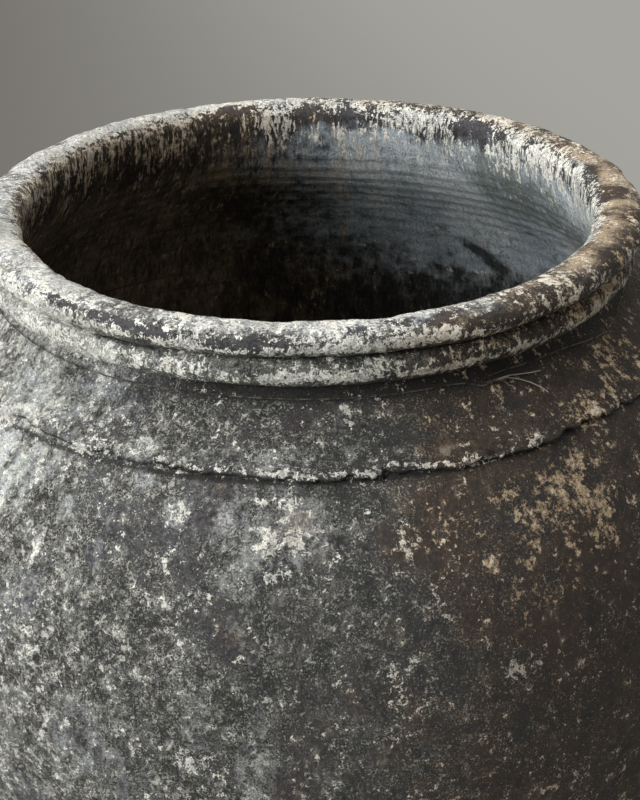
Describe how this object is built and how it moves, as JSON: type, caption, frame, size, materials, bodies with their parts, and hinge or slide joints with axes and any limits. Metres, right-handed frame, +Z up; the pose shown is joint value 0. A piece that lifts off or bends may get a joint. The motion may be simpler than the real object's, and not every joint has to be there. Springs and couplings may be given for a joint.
{
  "type": "storage pot",
  "caption": "Large wide-shouldered storage pot of weathered dark earthenware, with a rolled lip over a bead, a collar lapped on the shoulder and a thin wire tied round the neck.",
  "frame": {"origin": "centre of the flat underside, on the ground", "axes": "+Z up along the pot's axis; -Y is the front, as pictured, with the wire's knot to the right of it"},
  "size_m": [0.5, 0.5, 0.5],
  "materials": {
    "bare_clay": "rough unglazed dark grey earthenware with sandy grit",
    "crusted_clay": "rough dark grey earthenware with patches of lime and lichen",
    "limed_clay": "dark earthenware under a worn pale lime crust",
    "rusted_steel": "thin twisted steel wire, dulled and rusted"
  },
  "bodies": {
    "vessel": {"floor_slab": "bare_clay", "lower_wall": "bare_clay", "upper_wall": "crusted_clay", "shoulder_collar": "crusted_clay", "rim_bead": "limed_clay", "rim_lip": "limed_clay"},
    "wire": {"tie_wire": "rusted_steel"}
  },
  "joints": [
    {"name": "wire_turn", "type": "hinge", "parent": "vessel", "child": "wire", "pos_m": [0, 0, 0.46], "axis": [0, 0, 1], "continuous": true}
  ]
}
